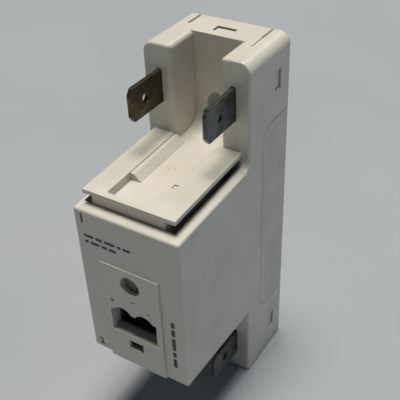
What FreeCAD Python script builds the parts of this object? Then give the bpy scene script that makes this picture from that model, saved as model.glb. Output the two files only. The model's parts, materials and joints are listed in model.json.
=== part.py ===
"""Slim panel-mount solid state relay, drawn as the separate pieces that it is assembled from.

Millimetres.  +Z is up with the line terminals at the top, -Y is the front with the control socket, and
+Y is the metal mounting face.  Inside this file a "depth" is counted forwards from the back edge of the
housing, so a depth of 10 lies at Y = -10 in a body's own axes.  Every piece gets the same Placement, which
puts the origin of the part under the middle of its bounding box.

Two lengths recur: a pad starts `joint_overlap` inside the material that it joins, and a cut goes `run_out`
past the face that it opens.
"""

import FreeCAD, Part
import math
import os

import Sketcher

Vector = FreeCAD.Vector

# Driving dimensions, in millimetres unless the name says otherwise.
DIMENSIONS = {
    # moulded housing
    "body_width": 21.26,
    "body_height": 72.8,
    "body_depth": 37.35,
    "arm_depth": 14.44,
    "block_low": 17.44,
    "block_top": 53.41,
    "draft_slope": 0.0377,
    "joint_overlap": 0.2,
    "run_out": 1.0,
    "wall": 1.3,
    "end_wall": 1.5,
    "crown_radius": 2.0,
    "root_radius": 1.5,
    "edge_radius": 0.45,
    "foot_radius": 0.3,
    # hollows in the four arms
    "arm_chamber_back": 4.0,
    "arm_chamber_rise": 0.4,
    # screw notches between the arms
    "notch_half": 4.9,
    "notch_depth": 7.0,
    "notch_radius": 3.0,
    "notch_lip_radius": 0.9,
    # accessory rail on the top of the front block
    "rail_rise": 2.96,
    "rail_front": 35.65,
    "rail_left": -9.38,
    "rail_right": 9.1,
    "rail_plate": 0.78,
    "web_left": -8.0,
    "web_right": 6.7,
    "groove_left": -9.9,
    "groove_right": 8.6,
    "groove_front": 35.06,
    "groove_drop": 2.9,
    # driver channel pressed into the rail
    "channel_depth": 1.6,
    "channel_left": -5.04,
    "channel_front": 34.4,
    "channel_right_back": 4.6,
    "channel_right_front": 2.65,
    "ridge_front": 28.0,
    "ridge_width": 0.75,
    "ridge_sink": 0.3,
    "ridge_drop": 0.25,
    "ridge_slope": 1.3,
    "dimple_side": 0.9,
    "dimple_back": 27.5,
    "dimple_front": 28.6,
    "dimple_depth": 0.25,
    "ejector_across": -0.3,
    "ejector_reach": 22.5,
    "ejector_radius": 0.7,
    "ejector_depth": 0.05,
    # shallow step across the right arm, and the slits in the crown and the foot
    "step_height": 69.9,
    "step_depth": 0.07,
    "step_side": 6.9,
    "slit_offset": 7.4,
    "slit_half": 0.28,
    "slit_reach": 4.4,
    "slit_depth": 0.4,
    "score_half": 0.1,
    "score_reach": 8.2,
    "score_depth": 0.2,
    # control socket, latch hole and indicator in the front face
    "panel_half": 6.15,
    "panel_top": 42.1,
    "panel_rise": 0.35,
    "socket_low": 26.2,
    "socket_shoulder": 31.66,
    "socket_half": 4.95,
    "socket_back": 30.0,
    "shroud_margin": 1.0,
    "shroud_lift": 0.6,
    "lobe_offset": 2.35,
    "lobe_radius": 2.18,
    "lobe_centre": 30.5,
    "latch_half": 1.6,
    "latch_low": 22.9,
    "latch_top": 25.0,
    "latch_reach": 5.0,
    "latch_lip": 0.3,
    "latch_relief": 0.7,
    "lamp_height": 38.76,
    "lamp_radius": 2.05,
    "sign_height": 33.85,
    "sign_left": -4.3,
    "sign_right": 3.5,
    "sign_half": 0.5,
    "sign_line": 0.13,
    "sign_depth": 0.05,
    "dash_height": 35.2,
    "dash_across": 0.3,
    # rear carrier and its visible side panels
    "panel_depth": 9.6,
    "panel_low": 14.4,
    "panel_high": 58.4,
    "panel_radius": 3.5,
    "seam_gap": 0.12,
    "ring_front": 5.4,
    "carrier_fit": 0.08,
    "hook_side_low": 64.0,
    "hook_side_top": 67.4,
    "hook_reach": 1.08,
    "end_hook_reach": 1.3,
    "hook_back": 3.4,
    "hook_front": 5.1,
    "end_hook_half": 1.8,
    "hook_play": 0.1,
    "hook_root": 1.0,
    "window_gap": 0.2,
    "post_across": 8.65,
    "post_half": 0.55,
    "post_tall": 0.9,
    "post_margin": 1.6,
    # metal base plate and mounting holes
    "plate_proud": 0.2,
    "plate_thick": 3.0,
    "plate_half": 8.0,
    "plate_margin": 2.7,
    "plate_corner": 1.0,
    "hole_pitch": 46.0,
    "hole_radius": 2.4,
    "boss_radius": 3.7,
    "boss_gap": 0.05,
    # power terminals, 6.3 by 0.8 quick-connect blades
    "blade_centre": 7.4,
    "blade_thick": 0.8,
    "blade_wide": 6.3,
    "blade_height": 64.88,
    "blade_reach": 23.75,
    "blade_hole": 0.85,
    "blade_hole_reach": 19.4,
    "blade_clip_run": 1.0,
    "blade_clip_rise": 1.4,
    "blade_chamfer": 0.22,
    "slot_fit": 0.1,
    "strip_back": 4.4,
    "strip_low": 63.5,
    "strip_top": 67.5,
    "riser_front": 5.6,
    "foot_left": 4.2,
    "foot_low": 47.6,
    "foot_high": 50.6,
    "foot_front": 5.2,
    # power stack on the base plate
    "ceramic_thick": 0.6,
    "ceramic_half": 7.4,
    "ceramic_reach": 17.0,
    "track_thick": 0.3,
    "chip_thick": 0.35,
    "track_left": -5.2,
    "gate_right": -5.8,
    "gate_inner": 1.8,
    "gate_outer": 14.4,
    "chip_side": 6.0,
    "line_chip_across": -1.6,
    "line_chip_height": 43.5,
    "load_chip_across": 2.4,
    "load_chip_height": 29.3,
    "line_strap_across": -2.6,
    "line_strap_foot": 33.0,
    "load_strap_across": 3.6,
    "load_strap_foot": 39.8,
    "strap_rise": 1.0,
    "strap_thick": 0.4,
    "strap_half": 1.2,
    "strap_pad": 2.0,
    "strap_climb": 3.2,
    "strap_descent": 2.0,
    "strap_heel": 0.8,
    "strap_toe": 1.6,
    "strap_bevel": 0.2,
    "track_margin": 0.8,
    "track_gap": 0.7,
    "gel_half": 6.8,
    "gel_front": 5.65,
    "gel_margin": 0.4,
    # control board
    "board_front": 27.0,
    "board_thick": 1.0,
    "board_half": 8.8,
    "board_low": 20.6,
    "board_top": 47.4,
    "board_corner": 0.8,
    "pin_pitch": 5.08,
    "pin_side": 0.8,
    "pin_height": 28.9,
    "pin_tail": 1.2,
    "pin_tip": 34.6,
    "shroud_front": 35.4,
    "shroud_wall": 0.5,
    "shroud_fit": 0.1,
    "header_gap": 0.05,
    "pin_hole_radius": 0.64,
    "pin_chamfer": 0.2,
    "gate_pin_radius": 0.35,
    "led_flange": 1.0,
    "led_flange_radius": 1.9,
    "led_radius": 1.5,
    "led_height": 3.2,
    "led_dome": 1.2,
    "lens_flange": 0.95,
    "lens_flange_radius": 2.8,
    "lens_gap": 0.05,
    "lens_face": 36.45,
    "lens_tail": 3.4,
    "part_edge": 0.4,
    "leg_length": 1.1,
    "leg_half": 0.4,
    "leg_rise": 1.8,
    "resistor_wide": 1.6,
    "resistor_tall": 3.2,
    "resistor_thick": 0.6,
    "varistor_across": -4.2,
    "varistor_height": 24.6,
    "varistor_radius": 3.4,
    "varistor_thick": 4.2,
}

doc = FreeCAD.newDocument("solid_state_relay")
sheet = doc.addObject("Spreadsheet::Sheet", "Spec")
for row, (alias, value) in enumerate(DIMENSIONS.items(), 1):
    sheet.set(f"A{row}", alias)
    sheet.set(f"B{row}", str(value))
    sheet.setAlias(f"B{row}", alias)
doc.recompute()


def cell(text):
    """Turns the plain names in an expression into references to the sheet."""
    words = []
    for word in text.replace("(", " ( ").replace(")", " ) ").split():
        words.append(f"Spec.{word}" if word in DIMENSIONS else word)
    return " ".join(words)


SIZE = DIMENSIONS
SHIFT = cell("( body_depth + panel_rise - plate_proud ) / 2")
LARGEST_SHARED_VOLUME = 0.001
SEED_RADIUS = 10.0
pieces = []


# ---------------------------------------------------------------------------------------------------------
# Drawing helpers
# ---------------------------------------------------------------------------------------------------------

def new_body(name):
    """An empty PartDesign body, listed as one of the pieces to be written."""
    body = doc.addObject("PartDesign::Body", name)
    body.Label = name
    body.setExpression("Placement.Base.y", SHIFT)
    pieces.append(body)
    return body


def new_sketch(body, name, role, start, tilt=0.0):
    """A sketch on one of the body's own origin planes, `start` along the plane's normal."""
    sketch = body.newObject("Sketcher::SketchObject", name)
    plane = [feature for feature in body.Origin.OriginFeatures if feature.Role == role][0]
    sketch.AttachmentSupport = [(plane, "")]
    sketch.MapMode = "FlatFace"
    sketch.AttachmentOffset = FreeCAD.Placement(Vector(), FreeCAD.Rotation(Vector(1, 0, 0), tilt))
    sketch.setExpression("AttachmentOffset.Base.z", cell(start))
    return sketch


def hold(sketch, kind, geometry, point, seed, text):
    """One dimension from the sketch's origin, bound to an expression."""
    index = sketch.addConstraint(Sketcher.Constraint(kind, -1, 1, geometry, point, seed))
    sketch.setExpression(f"Constraints[{index}]", cell(text))


def outline(sketch, corners):
    """A closed polygon; each corner is a pair of expressions in the sketch's own axes.

    The corners start on a circle and are pulled into place by their dimensions.
    """
    first = sketch.GeometryCount
    count = len(corners)
    seeds = []
    for step in range(count):
        angle = 2 * math.pi * step / count
        seeds.append(Vector(SEED_RADIUS * math.cos(angle), SEED_RADIUS * math.sin(angle), 0))
    for step in range(count):
        sketch.addGeometry(Part.LineSegment(seeds[step], seeds[(step + 1) % count]), False)
    for step in range(count):
        after = first + (step + 1) % count
        sketch.addConstraint(Sketcher.Constraint("Coincident", first + step, 2, after, 1))
    for step, (across, up) in enumerate(corners):
        hold(sketch, "DistanceX", first + step, 1, seeds[step].x, across)
        hold(sketch, "DistanceY", first + step, 1, seeds[step].y, up)


def rectangle(left, low, right, high):
    """Corner expressions of a rectangle, for outline()."""
    return [(left, low), (right, low), (right, high), (left, high)]


def disc(sketch, across, up, radius):
    """A full circle whose centre and radius are expressions."""
    index = sketch.addGeometry(Part.Circle(Vector(1, 1, 0), Vector(0, 0, 1), 1.0), False)
    hold(sketch, "DistanceX", index, 3, 1.0, across)
    hold(sketch, "DistanceY", index, 3, 1.0, up)
    size = sketch.addConstraint(Sketcher.Constraint("Radius", index, 1.0))
    sketch.setExpression(f"Constraints[{size}]", cell(radius))


def grow(body, name, role, start, length, shapes, kind="PartDesign::Pad", tilt=0.0):
    """A pad, or a pocket, that runs from `start` along the plane's normal for `length`.

    Each of `shapes` is a list of corners, or a triple (across, up, radius) for a circle.
    """
    sketch = new_sketch(body, name + "_sketch", role, start, tilt)
    for shape in shapes:
        if isinstance(shape, tuple):
            disc(sketch, *shape)
        else:
            outline(sketch, shape)
    feature = body.newObject(kind, name)
    feature.Profile = sketch
    feature.setExpression("Length", cell(length))
    if kind == "PartDesign::Pocket":
        feature.Reversed = True
    return feature


def carve(body, name, role, start, length, shapes, tilt=0.0):
    """A pocket that has to take material away."""
    doc.recompute()
    before = body.Shape.Volume
    feature = grow(body, name, role, start, length, shapes, "PartDesign::Pocket", tilt)
    doc.recompute()
    if not body.Shape.Volume < before:
        raise ValueError(f"{name} takes nothing away from {body.Label}")
    return feature


def curve_kind(edge):
    """The type of an edge's curve, or None for a degenerate edge that has no curve."""
    try:
        return edge.Curve.TypeId
    except TypeError:
        return None


def edges_where(body, test, curve):
    """Names of the edges of one curve type for which test(middle, direction) holds."""
    doc.recompute()
    names = []
    for number, edge in enumerate(body.Shape.Edges, 1):
        if curve_kind(edge) != curve:
            continue
        run = edge.lastVertex().Point - edge.firstVertex().Point
        direction = run.normalize() if run.Length > 0 else run
        if test(edge.CenterOfMass - body.Placement.Base, direction):
            names.append(f"Edge{number}")
    return names


def near(value, target, reach=0.05):
    return abs(value - target) < reach


def soften(body, name, radius, test, kind="PartDesign::Fillet", curve="Part::GeomLine"):
    """A fillet, or a chamfer, on the edges that pass the test."""
    names = edges_where(body, test, curve)
    if not names:
        raise ValueError(f"{name} finds no edge on {body.Label}")
    base = body.Tip
    feature = body.newObject(kind, name)
    feature.Base = (base, names)
    feature.setExpression("Radius" if kind == "PartDesign::Fillet" else "Size", cell(radius))
    doc.recompute()
    if "Invalid" in feature.State:
        raise ValueError(f"{name} fails on {body.Label}: {feature.getStatusString()}")
    return feature


def block(name, left, right, back, front, low, high):
    """A plain box piece, between two sides, two depths and two heights."""
    body = new_body(name)
    grow(body, name + "_pad", "XZ_Plane", back, f"{front} - ( {back} )",
         [rectangle(left, low, right, high)])
    return body


def mirrored(height):
    """The same height counted down from the top of the housing."""
    return f"( body_height - ( {height} ) )"


def block_top(depth):
    return f"( block_top - draft_slope * ( {depth} ) )"


def block_low(depth):
    return f"( block_low + draft_slope * ( {depth} ) )"


def slanted(depths, low_drop, high_drop):
    """Side outline of a layer parallel to the drafted top of the front block.

    The drops are heights above the block's top at the back and front depth given in `depths`.
    """
    back, front = depths
    return [
        (f"0 - ( {back} )", f"{block_top(back)} + ( {low_drop} )"),
        (f"0 - ( {front} )", f"{block_top(front)} + ( {low_drop} )"),
        (f"0 - ( {front} )", f"{block_top(front)} + ( {high_drop} )"),
        (f"0 - ( {back} )", f"{block_top(back)} + ( {high_drop} )"),
    ]


# ---------------------------------------------------------------------------------------------------------
# Moulded pieces
# ---------------------------------------------------------------------------------------------------------

def housing_profile():
    """Side view of the housing: full-height rear section and the drafted front block."""
    return [
        ("0", "0"),
        ("0 - arm_depth", "0"),
        ("0 - arm_depth", block_low("arm_depth")),
        ("0 - body_depth", block_low("body_depth")),
        ("0 - body_depth", block_top("body_depth")),
        ("0 - arm_depth", block_top("arm_depth")),
        ("0 - arm_depth", "body_height"),
        ("0", "body_height"),
    ]


def round_housing(body):
    """Rounded crown, feet, arm roots and front corners of the bare housing."""
    half = SIZE["body_width"] / 2
    height = SIZE["body_height"]
    arm = -SIZE["arm_depth"]
    front = -SIZE["body_depth"]
    soften(body, "root_fillet", "root_radius",
           lambda p, d: near(abs(d.x), 1) and near(p.y, arm) and p.z > height / 2 and not near(p.z, height))
    soften(body, "crown_fillet", "crown_radius",
           lambda p, d: near(abs(d.y), 1) and near(p.z, height) and near(abs(p.x), half))
    soften(body, "foot_fillet", "foot_radius",
           lambda p, d: near(abs(d.y), 1) and near(p.z, 0) and near(abs(p.x), half))
    soften(body, "arm_corner_fillet", "edge_radius",
           lambda p, d: near(abs(d.z), 1) and near(p.y, arm) and near(abs(p.x), half))
    soften(body, "front_fillet", "edge_radius", lambda p, d: near(p.y, front))


def cut_notches(body):
    """The two screw notches: open to the front and the ends, with a rounded root at the back wall."""
    floor_top = f"{block_top('arm_depth')} + rail_rise - channel_depth"
    back = f"{block_top('notch_depth')} + rail_rise - channel_depth"
    upper = [
        ("0 - notch_depth", "body_height + run_out"),
        ("0 - notch_depth", back),
        ("0 - arm_depth", floor_top),
        ("0 - arm_depth - run_out", floor_top),
        ("0 - arm_depth - run_out", "body_height + run_out"),
    ]
    lower = [
        ("0 - notch_depth", "0 - run_out"),
        ("0 - notch_depth", block_low("notch_depth")),
        ("0 - arm_depth - run_out", block_low("arm_depth + run_out")),
        ("0 - arm_depth - run_out", "0 - run_out"),
    ]
    for name, shape in (("upper_notch", upper), ("lower_notch", lower)):
        carve(body, name, "YZ_Plane", "0 - notch_half", "2 * notch_half", [shape])
    depth = -SIZE["notch_depth"]
    soften(body, "notch_root_fillet", "notch_radius",
           lambda p, d: near(abs(d.x), 1) and near(p.y, depth)
           and not near(p.z, 0) and not near(p.z, SIZE["body_height"]))


def build_rail(body):
    """The T-shaped accessory rail with its groove, and the driver channel that runs along it."""
    carve(body, "rail_groove", "YZ_Plane", "groove_left", "groove_right - groove_left",
          [slanted(("arm_depth", "groove_front"), "0 - groove_drop", "rail_rise + run_out")])
    soften(body, "notch_lip_fillet", "notch_lip_radius",
           lambda p, d: near(abs(d.z), 1) and near(p.y, -SIZE["arm_depth"])
           and near(abs(p.x), SIZE["notch_half"]))
    grow(body, "rail_web", "YZ_Plane", "web_left", "web_right - web_left",
         [slanted(("arm_depth - joint_overlap", "groove_front"),
                  "0 - groove_drop - joint_overlap", "rail_rise - rail_plate / 2")])
    grow(body, "rail_plate", "YZ_Plane", "rail_left", "rail_right - rail_left",
         [slanted(("arm_depth", "rail_front"), "rail_rise - rail_plate", "rail_rise")])
    tilt = math.degrees(math.atan(SIZE["draft_slope"]))
    channel_floor = "block_top + rail_rise - channel_depth"
    channel = [
        ("channel_left", "0 - channel_front"),
        ("channel_right_front", "0 - channel_front"),
        ("channel_right_back", "0 - arm_depth"),
        ("channel_right_back", "0 - arm_depth + run_out"),
        ("0 - channel_right_back", "0 - arm_depth + run_out"),
        ("channel_left", "0 - arm_depth"),
    ]
    carve(body, "driver_channel", "XY_Plane", channel_floor, "channel_depth + run_out", [channel], tilt)
    ridge_right = "channel_left + ridge_width + ridge_slope"
    ridge = rectangle("channel_left - joint_overlap", "0 - ridge_front",
                      ridge_right, "0 - arm_depth + joint_overlap")
    grow(body, "channel_ridge", "XY_Plane", f"{channel_floor} - ridge_sink",
         "channel_depth + ridge_sink - ridge_drop", [ridge], tilt=tilt)
    slope_edge = SIZE["channel_left"] + SIZE["ridge_width"] + SIZE["ridge_slope"]
    over_floor = SIZE["block_top"] + SIZE["ridge_slope"]
    soften(body, "ridge_chamfer", "ridge_slope",
           lambda p, d: near(abs(d.y), 1) and near(p.x, slope_edge) and p.z > over_floor,
           kind="PartDesign::Chamfer")
    dimple = rectangle("channel_right_back - dimple_side", "0 - dimple_front",
                       "channel_right_back", "0 - dimple_back")
    carve(body, "rail_dimple", "XY_Plane", "block_top + rail_rise - dimple_depth", "run_out", [dimple],
          tilt)
    carve(body, "ejector_mark", "XY_Plane", f"{channel_floor} - ejector_depth", "run_out",
          [("ejector_across", "0 - ejector_reach", "ejector_radius")], tilt)


def hollow_housing(body):
    """The inside of the housing, reached from its open back, with two screw bosses left standing."""
    chamber = [
        ("run_out", "end_wall"),
        ("0 - ( notch_depth - wall )", "end_wall"),
        ("0 - ( notch_depth - wall )", f"{block_low('notch_depth')} + wall"),
        ("0 - ( body_depth - wall )", f"{block_low('body_depth')} + wall"),
        ("0 - ( body_depth - wall )", f"{block_top('body_depth')} - groove_drop - wall"),
        ("0 - ( notch_depth - wall )", f"{block_top('notch_depth')} - groove_drop - wall"),
        ("0 - ( notch_depth - wall )", "body_height - end_wall"),
        ("run_out", "body_height - end_wall"),
    ]
    carve(body, "chamber", "YZ_Plane", "0 - ( body_width / 2 - wall )", "body_width - 2 * wall", [chamber])
    arms = []
    for side in ("-1", "1"):
        inner = f"( notch_half + wall ) * {side}"
        outer = f"( body_width / 2 - wall ) * {side}"
        low_end = f"{block_low('arm_depth')} - wall"
        arms.append(rectangle(inner, "end_wall", outer, low_end))
        high_start = f"{block_top('arm_depth')} + rail_rise + arm_chamber_rise"
        arms.append(rectangle(inner, high_start, outer, "body_height - end_wall"))
    carve(body, "arm_chambers", "XZ_Plane", "arm_chamber_back", "arm_depth - wall - arm_chamber_back", arms)
    holes = [("0", f"body_height / 2 {sign} hole_pitch / 2") for sign in "+-"]
    grow(body, "screw_bosses", "XZ_Plane", "plate_thick - plate_proud + boss_gap",
         "notch_depth - plate_thick", [hole + ("boss_radius",) for hole in holes])
    carve(body, "screw_holes", "XZ_Plane", "0 - run_out", "notch_depth + 2 * run_out",
          [hole + ("hole_radius",) for hole in holes])


def open_sides(body):
    """Rounded cut-outs in both side walls for the carrier's panels."""
    cutout = rectangle("0 - panel_depth", "panel_low", "run_out", "panel_high")
    for name, start in (("left_cutout", "0 - body_width / 2"), ("right_cutout", "body_width / 2 - wall")):
        carve(body, name, "YZ_Plane", start, "wall", [cutout])
    soften(body, "cutout_fillet", "panel_radius",
           lambda p, d: near(abs(d.x), 1) and near(p.y, -SIZE["panel_depth"])
           and (near(p.z, SIZE["panel_low"]) or near(p.z, SIZE["panel_high"])))


def open_windows(body):
    """Snap windows in the side and end walls, and the slits beside the end windows."""
    near_edge = "0 - hook_back + window_gap"
    far_edge = "0 - hook_front - window_gap"
    low = "hook_side_low - window_gap"
    high = "hook_side_top + window_gap"
    side_windows = [
        rectangle(far_edge, low, near_edge, high),
        rectangle(far_edge, mirrored(high), near_edge, mirrored(low)),
    ]
    carve(body, "side_windows", "YZ_Plane", "0 - body_width / 2 - run_out", "body_width + 2 * run_out",
          side_windows)
    end_window = rectangle("0 - end_hook_half - window_gap", far_edge,
                           "end_hook_half + window_gap", near_edge)
    carve(body, "end_windows", "XY_Plane", "0 - run_out", "body_height + 2 * run_out", [end_window])
    for mark, back, sides in (("slit", "run_out", ("-1", "1")),
                              ("score", "0 - slit_reach + joint_overlap", ("1",))):
        cuts = []
        for side in sides:
            middle = f"slit_offset * {side}"
            cuts.append(rectangle(f"{middle} - {mark}_half", f"0 - {mark}_reach",
                                  f"{middle} + {mark}_half", back))
        carve(body, f"upper_{mark}s", "XY_Plane", f"body_height - {mark}_depth", "run_out", cuts)
        carve(body, f"lower_{mark}s", "XY_Plane", f"{mark}_depth - run_out", "run_out", cuts)


def cut_front(body):
    """Raised panel, control socket, latch hole and indicator hole in the front face."""
    panel = rectangle("0 - panel_half", block_low("body_depth"), "panel_half", "panel_top")
    grow(body, "raised_panel", "XZ_Plane", "body_depth - joint_overlap", "panel_rise + joint_overlap",
         [panel])
    shroud = rectangle("0 - socket_half - shroud_margin", "socket_low - shroud_margin",
                       "socket_half + shroud_margin", "lobe_centre + lobe_radius + shroud_margin")
    grow(body, "socket_shroud", "XZ_Plane", "board_front + shroud_lift",
         "body_depth - board_front - shroud_lift - joint_overlap", [shroud])
    mouth = rectangle("0 - socket_half", "socket_low", "socket_half", "socket_shoulder")
    carve(body, "socket_mouth", "XZ_Plane", "board_front", "body_depth - board_front + run_out", [mouth])
    lobes = [(f"lobe_offset * {side}", "lobe_centre", "lobe_radius") for side in ("-1", "1")]
    for number, lobe in enumerate(lobes):
        carve(body, f"socket_lobe_{number}", "XZ_Plane", "socket_back",
              "body_depth - socket_back + run_out", [lobe])
    latch = rectangle("0 - latch_half", "latch_low", "latch_half", "latch_top")
    carve(body, "latch_hole", "XZ_Plane", "body_depth - latch_reach", "latch_reach + run_out", [latch])
    relief = rectangle("0 - latch_half - latch_relief", "latch_low - latch_relief",
                       "latch_half + latch_relief", "latch_top")
    carve(body, "latch_relief_pocket", "XZ_Plane", "body_depth - latch_reach", "latch_reach - latch_lip",
          [relief])
    carve(body, "lamp_hole", "XZ_Plane", "body_depth - wall - run_out", "wall + 2 * run_out",
          [("0", "lamp_height", "lamp_radius")])
    sink_signs(body)


def sign_bar(across, height, half, line):
    """A short bar of a printed sign, from its middle and half sizes."""
    return rectangle(f"{across} - {half}", f"{height} - {line}", f"{across} + {half}", f"{height} + {line}")


def sink_signs(body):
    """Polarity signs over the socket and a dash under the lamp, sunk so that their ink lies flush."""
    level = "body_depth + panel_rise - sign_depth"
    bars = [
        sign_bar("sign_left", "sign_height", "sign_half", "sign_line"),
        sign_bar("sign_right", "sign_height", "sign_half", "sign_line"),
        sign_bar("dash_across", "dash_height", "sign_half", "sign_line"),
    ]
    carve(body, "sign_bars", "XZ_Plane", level, "run_out", bars)
    upright = sign_bar("sign_left", "sign_height", "sign_line", "sign_half")
    carve(body, "sign_upright", "XZ_Plane", level, "run_out", [upright])


def open_blade_slots(body):
    """Slots in the arms' front walls for the four blades, and the shallow step on the upper right arm."""
    slots = []
    for side in ("-1", "1"):
        left = f"blade_centre * {side} - blade_thick / 2 - slot_fit"
        right = f"blade_centre * {side} + blade_thick / 2 + slot_fit"
        low = "blade_height - blade_wide / 2 - slot_fit"
        high = "blade_height + blade_wide / 2 + slot_fit"
        slots.append(rectangle(left, low, right, high))
        slots.append(rectangle(left, mirrored(high), right, mirrored(low)))
    carve(body, "blade_slots", "XZ_Plane", "arm_depth - wall - run_out", "wall + 2 * run_out", slots)
    step = rectangle("step_side", "step_height", "body_width / 2 + run_out", "body_height + run_out")
    carve(body, "arm_step", "XZ_Plane", "arm_depth - step_depth", "run_out", [step])


def make_housing():
    body = new_body("outer_housing")
    grow(body, "housing_pad", "YZ_Plane", "0 - body_width / 2", "body_width", [housing_profile()])
    round_housing(body)
    cut_notches(body)
    build_rail(body)
    open_sides(body)
    hollow_housing(body)
    open_windows(body)
    cut_front(body)
    open_blade_slots(body)


def make_carrier():
    """Rear carrier: a ring round the base plate, flush side panels, snap hooks and board posts."""
    body = new_body("rear_carrier")
    side = "( body_width / 2 - wall - carrier_fit )"
    low = "end_wall + carrier_fit"
    outer = rectangle(f"0 - {side}", low, side, mirrored(low))
    grow(body, "carrier_ring", "XZ_Plane", "0", "ring_front", [outer])
    opening = rectangle("0 - plate_half - carrier_fit", "plate_margin - carrier_fit",
                        "plate_half + carrier_fit", mirrored("plate_margin - carrier_fit"))
    carve(body, "carrier_opening", "XZ_Plane", "0 - run_out", "ring_front + 2 * run_out", [opening])
    panel = rectangle("0 - panel_depth + seam_gap", "panel_low + seam_gap", "0", "panel_high - seam_gap")
    grow(body, "left_panel", "YZ_Plane", "0 - body_width / 2", "wall - carrier_fit", [panel])
    grow(body, "right_panel", "YZ_Plane", "body_width / 2 - wall + carrier_fit", "wall - carrier_fit",
         [panel])
    soften(body, "panel_fillet", "panel_radius - seam_gap",
           lambda p, d: near(abs(d.x), 1) and near(p.y, -SIZE["panel_depth"] + SIZE["seam_gap"]))
    root = rectangle("0 - ring_front", "panel_low + seam_gap", "0", "panel_high - seam_gap")
    grow(body, "panel_roots", "YZ_Plane", "0 - body_width / 2 + wall / 2", "body_width - wall", [root])
    for name, height, top in (("upper", "hook_side_low", "hook_side_top"),
                              ("lower", mirrored("hook_side_top"), mirrored("hook_side_low"))):
        hook = rectangle("0 - hook_front", height, "0 - hook_back", top)
        grow(body, name + "_side_hooks", "YZ_Plane", f"0 - {side} - hook_reach",
             f"2 * ( {side} + hook_reach )", [hook])
    hollow = rectangle(f"0 - {side} + hook_root", "plate_margin - carrier_fit",
                       f"{side} - hook_root", mirrored("plate_margin - carrier_fit"))
    carve(body, "hook_clearance", "XZ_Plane", "plate_thick", "ring_front - plate_thick + run_out", [hollow])
    end_hook = rectangle("0 - end_hook_half", "0 - hook_front + hook_play",
                         "end_hook_half", "0 - hook_back - hook_play")
    grow(body, "end_hooks", "XY_Plane", f"{low} - end_hook_reach",
         f"body_height - 2 * ( {low} - end_hook_reach )", [end_hook])
    carve(body, "end_clearance", "XZ_Plane", "0 - run_out", "ring_front + 2 * run_out", [opening])
    posts = []
    for sign in ("-1", "1"):
        centre = f"post_across * {sign}"
        for height in ("board_low + post_margin", "board_top - post_margin"):
            posts.append(rectangle(f"{centre} - post_half", f"{height} - post_tall",
                                   f"{centre} + post_half", f"{height} + post_tall"))
    grow(body, "board_posts", "XZ_Plane", "plate_thick", "board_front - board_thick - plate_thick", posts)


# ---------------------------------------------------------------------------------------------------------
# Metal base, ceramic and power semiconductors
# ---------------------------------------------------------------------------------------------------------

PLATE_FRONT = "( plate_thick - plate_proud )"
CERAMIC_FRONT = f"( {PLATE_FRONT} + ceramic_thick )"
TRACK_FRONT = f"( {CERAMIC_FRONT} + track_thick )"
CHIP_FRONT = f"( {TRACK_FRONT} + chip_thick )"
BOARD_BACK = "( board_front - board_thick )"


def make_base_plate():
    body = new_body("base_plate")
    grow(body, "plate_pad", "XZ_Plane", "0 - plate_proud", "plate_thick",
         [rectangle("0 - plate_half", "plate_margin", "plate_half", mirrored("plate_margin"))])
    soften(body, "plate_corner_fillet", "plate_corner", lambda p, d: near(abs(d.y), 1))
    holes = [("0", f"body_height / 2 {sign} hole_pitch / 2", "hole_radius") for sign in "+-"]
    carve(body, "plate_holes", "XZ_Plane", "0 - run_out", "plate_thick + 2 * run_out", holes)


def make_power_stack():
    """Ceramic insulator, copper tracks, the two thyristor chips and their straps."""
    middle = "body_height / 2"
    block("ceramic_substrate", "0 - ceramic_half", "ceramic_half", PLATE_FRONT, CERAMIC_FRONT,
          f"{middle} - ceramic_reach", f"{middle} + ceramic_reach")
    inner = "track_gap"
    outer = "( ceramic_reach - track_margin )"
    for name, low, high in (("line_track", f"{middle} + {inner}", f"{middle} + {outer}"),
                            ("load_track", f"{middle} - {outer}", f"{middle} - {inner}")):
        block(name, "track_left", "ceramic_half - track_margin", CERAMIC_FRONT, TRACK_FRONT, low, high)
    gates = new_body("gate_tracks")
    for name, low, high in (("upper", f"{middle} + gate_inner", f"{middle} + gate_outer"),
                            ("lower", f"{middle} - gate_outer", f"{middle} - gate_inner")):
        grow(gates, name + "_gate_track", "XZ_Plane", CERAMIC_FRONT, "track_thick",
             [rectangle("0 - ceramic_half + track_margin", low, "gate_right", high)])
    for name in ("line", "load"):
        across = f"{name}_chip_across"
        height = f"{name}_chip_height"
        block(name + "_thyristor", f"{across} - chip_side / 2", f"{across} + chip_side / 2",
              TRACK_FRONT, CHIP_FRONT, f"{height} - chip_side / 2", f"{height} + chip_side / 2")
    make_strap("line", "-")
    make_strap("load", "+")


def make_strap(name, along):
    """A bent copper strap from the top of a chip over the gap between the tracks to the other track.

    `along` is the sign of the way it runs from the chip: "-" for down and "+" for up.
    """
    body = new_body(name + "_strap")
    chip = f"{name}_chip_height"
    foot = f"{name}_strap_foot"
    against = "+" if along == "-" else "-"
    high = f"( {CHIP_FRONT} + strap_rise )"
    under = [
        (CHIP_FRONT, f"{chip} {against} strap_pad"),
        (CHIP_FRONT, f"{chip} {along} strap_pad"),
        (high, f"{chip} {along} strap_climb"),
        (high, f"{foot} {against} strap_descent"),
        (TRACK_FRONT, f"{foot} {against} strap_heel"),
        (TRACK_FRONT, f"{foot} {along} strap_toe"),
    ]
    over = [
        (TRACK_FRONT, f"{foot} {along} strap_toe"),
        (TRACK_FRONT, f"{foot} {against} ( strap_heel - strap_bevel )"),
        (high, f"{foot} {against} ( strap_descent - strap_bevel )"),
        (high, f"{chip} {along} ( strap_climb - strap_bevel )"),
        (CHIP_FRONT, f"{chip} {along} ( strap_pad - strap_bevel )"),
        (CHIP_FRONT, f"{chip} {against} strap_pad"),
    ]
    corners = [(f"0 - {depth}", height) for depth, height in under]
    corners += [(f"0 - {depth} - strap_thick", height) for depth, height in over]
    grow(body, name + "_strap_pad", "YZ_Plane", f"{name}_strap_across - strap_half", "2 * strap_half",
         [corners])


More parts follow.
